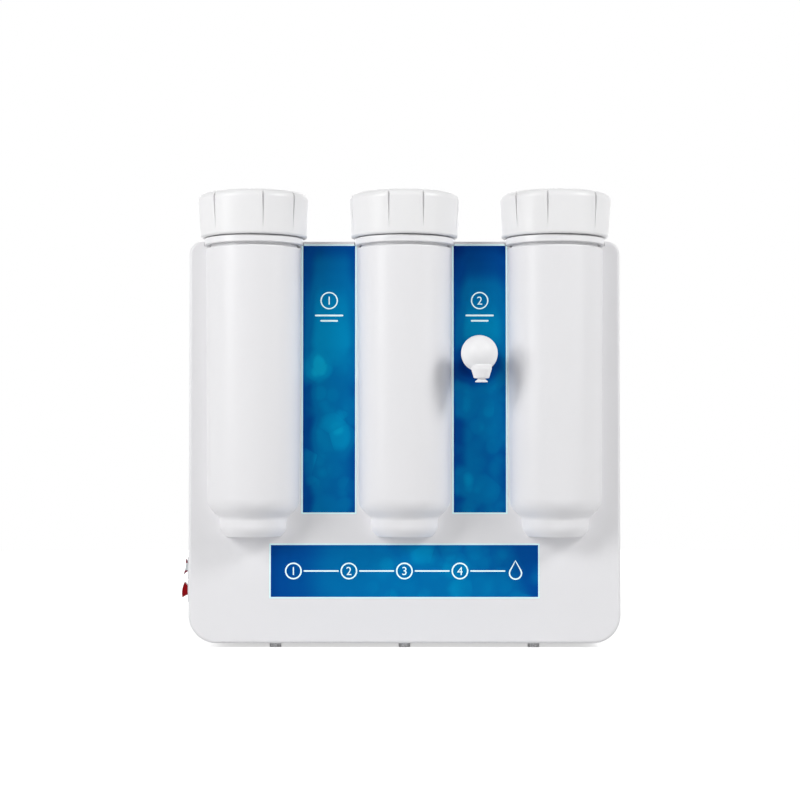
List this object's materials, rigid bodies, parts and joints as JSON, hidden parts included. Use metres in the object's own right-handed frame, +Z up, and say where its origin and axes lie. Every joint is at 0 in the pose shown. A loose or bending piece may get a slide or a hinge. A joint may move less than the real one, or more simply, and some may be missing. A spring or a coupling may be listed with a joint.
{
  "type": "ultrapure water system",
  "caption": "Bench ultrapure water system: screw-capped filter canisters in a moulded front, a turning ball tap between them, rocker switches on the side and tube ports behind.",
  "frame": {"origin": "on the bench, at the centre of the middle front foot's underside", "axes": "+Z up, +X to the right as seen from the front, +Y from the front to the back"},
  "size_m": [0.4127, 0.2658, 0.4254],
  "materials": {
    "cover_plastic": "satin white moulding",
    "shell_plastic": "satin white moulding",
    "foot_rubber": "matt grey",
    "left_print": "printed film",
    "right_print": "printed film",
    "banner_print": "printed film",
    "canister_plastic": "satin",
    "cap_plastic": "satin",
    "lid_plastic": "satin",
    "seal_rubber": "matt",
    "sediment_media": "spun fibre",
    "carbon_media": "pressed block",
    "resin_media": "beads in a sleeve",
    "tap_plastic": "satin",
    "tap_stem_plastic": "satin",
    "nozzle_plastic": "satin",
    "nut_brass": "turned",
    "switch_plastic": "fine grain",
    "power_key_plastic": "red with a pale printed face",
    "pump_key_plastic": "dark red",
    "sheet_steel": "zinc plated",
    "saddle_plastic": "matt",
    "post_steel": "turned",
    "screw_steel": "zinc plated",
    "motor_paint": "satin black",
    "pump_plastic": "fine grain",
    "pump_cover_plastic": "fine grain",
    "pump_foot_steel": "satin",
    "rotor_steel": "turned",
    "vessel_plastic": "satin",
    "membrane_wrap": "wound film",
    "clip_plastic": "satin",
    "valve_plastic": "satin",
    "coil_plastic": "moulded",
    "plunger_steel": "ground",
    "supply_steel": "perforated sheet",
    "board_laminate": "solder mask",
    "standoff_nylon": "matt",
    "sensor_plastic": "matt",
    "fitting_plastic": "satin",
    "fitting_nut_plastic": "satin",
    "collet_plastic": "satin",
    "inlet_plastic": "fine grain",
    "pin_metal": "plated",
    "tube_plastic": "semi-clear"
  },
  "bodies": {
    "housing": {"banner_film": "banner_print", "board_standoffs": "standoff_nylon", "bulkhead_unions": "fitting_plastic", "canister_saddles": "saddle_plastic", "carbon_cartridge": "carbon_media", "chassis": "sheet_steel", "control_board": "board_laminate", "feet": "foot_rubber", "front_cover": "cover_plastic", "housing_screws": "screw_steel", "inlet_pins": "pin_metal", "left_canister": "canister_plastic", "left_panel_film": "left_print", "mains_inlet": "inlet_plastic", "membrane_clips": "clip_plastic", "membrane_element": "membrane_wrap", "membrane_vessel": "vessel_plastic", "membrane_vessel_cap": "vessel_plastic", "middle_canister": "canister_plastic", "power_supply": "supply_steel", "power_switch_body": "switch_plastic", "pressure_switch": "sensor_plastic", "pump_foot": "pump_foot_steel", "pump_grommets": "seal_rubber", "pump_head": "pump_plastic", "pump_motor": "motor_paint", "pump_switch_body": "switch_plastic", "pump_valve_cover": "pump_cover_plastic", "rear_posts": "post_steel", "rear_shell": "shell_plastic", "resin_cartridge": "resin_media", "right_canister": "canister_plastic", "right_panel_film": "right_print", "sediment_cartridge": "sediment_media", "straight_fittings": "fitting_plastic", "tap_nut": "nut_brass", "tap_rings": "seal_rubber", "tap_stem": "tap_stem_plastic", "tap_washer": "seal_rubber", "union_collets": "collet_plastic", "union_nuts": "fitting_nut_plastic", "valve_bodies": "valve_plastic", "valve_coils": "coil_plastic", "water_tubes": "tube_plastic"},
    "left_lid_unit": {"left_lid": "lid_plastic", "left_lid_seal": "seal_rubber"},
    "left_cap": {"left_screw_cap": "cap_plastic"},
    "middle_lid_unit": {"middle_lid": "lid_plastic", "middle_lid_seal": "seal_rubber"},
    "middle_cap": {"middle_screw_cap": "cap_plastic"},
    "right_lid_unit": {"right_lid": "lid_plastic", "right_lid_seal": "seal_rubber"},
    "right_cap": {"right_screw_cap": "cap_plastic"},
    "tap": {"tap_ball": "tap_plastic", "tap_nozzle": "nozzle_plastic"},
    "power_key": {"power_rocker": "power_key_plastic"},
    "pump_key": {"pump_rocker": "pump_key_plastic"},
    "rotor": {"pump_rotor": "rotor_steel"},
    "feed_plunger": {"feed_valve_plunger": "plunger_steel"},
    "flush_plunger": {"flush_valve_plunger": "plunger_steel"}
  },
  "joints": [
    {"name": "left_lid_lift", "type": "slide", "parent": "housing", "child": "left_lid_unit", "axis": [0, 0, 1], "range_m": [0, 0.018]},
    {"name": "left_cap_turn", "type": "hinge", "parent": "left_lid_unit", "child": "left_cap", "pos_m": [-0.1415, -0.014, 0.3841], "axis": [0, 0, 1], "range_deg": [0, 1080]},
    {"name": "middle_lid_lift", "type": "slide", "parent": "housing", "child": "middle_lid_unit", "axis": [0, 0, 1], "range_m": [0, 0.018]},
    {"name": "middle_cap_turn", "type": "hinge", "parent": "middle_lid_unit", "child": "middle_cap", "pos_m": [0, -0.014, 0.3841], "axis": [0, 0, 1], "range_deg": [0, 1080]},
    {"name": "right_lid_lift", "type": "slide", "parent": "housing", "child": "right_lid_unit", "axis": [0, 0, 1], "range_m": [0, 0.018]},
    {"name": "right_cap_turn", "type": "hinge", "parent": "right_lid_unit", "child": "right_cap", "pos_m": [0.1415, -0.014, 0.3841], "axis": [0, 0, 1], "range_deg": [0, 1080]},
    {"name": "tap_turn", "type": "hinge", "parent": "housing", "child": "tap", "pos_m": [0.07075, -0.056, 0.2736], "axis": [0, 1, 0], "range_deg": [-90, 90]},
    {"name": "power_rock", "type": "hinge", "parent": "housing", "child": "power_key", "pos_m": [-0.201, 0.008, 0.074], "axis": [0, -1, 0], "range_deg": [0, 16]},
    {"name": "pump_rock", "type": "hinge", "parent": "housing", "child": "pump_key", "pos_m": [-0.201, 0.008, 0.0521], "axis": [0, -1, 0], "range_deg": [0, 16]},
    {"name": "rotor_spin", "type": "hinge", "parent": "housing", "child": "rotor", "pos_m": [-0.084, 0.093, 0.0597], "axis": [1, 0, 0], "continuous": true},
    {"name": "feed_plunger_lift", "type": "slide", "parent": "housing", "child": "feed_plunger", "axis": [0, 0, 1], "range_m": [0, 0.0025], "stiffness_N_per_m": 400, "springref_m": -0.002},
    {"name": "flush_plunger_lift", "type": "slide", "parent": "housing", "child": "flush_plunger", "axis": [0, 0, 1], "range_m": [0, 0.0025], "stiffness_N_per_m": 400, "springref_m": -0.002}
  ],
  "couplings": [
    {"joint": "left_lid_lift", "follows": "left_cap_turn", "m_per_rad": 0.00095493},
    {"joint": "middle_lid_lift", "follows": "middle_cap_turn", "m_per_rad": 0.00095493},
    {"joint": "right_lid_lift", "follows": "right_cap_turn", "m_per_rad": 0.00095493}
  ]
}
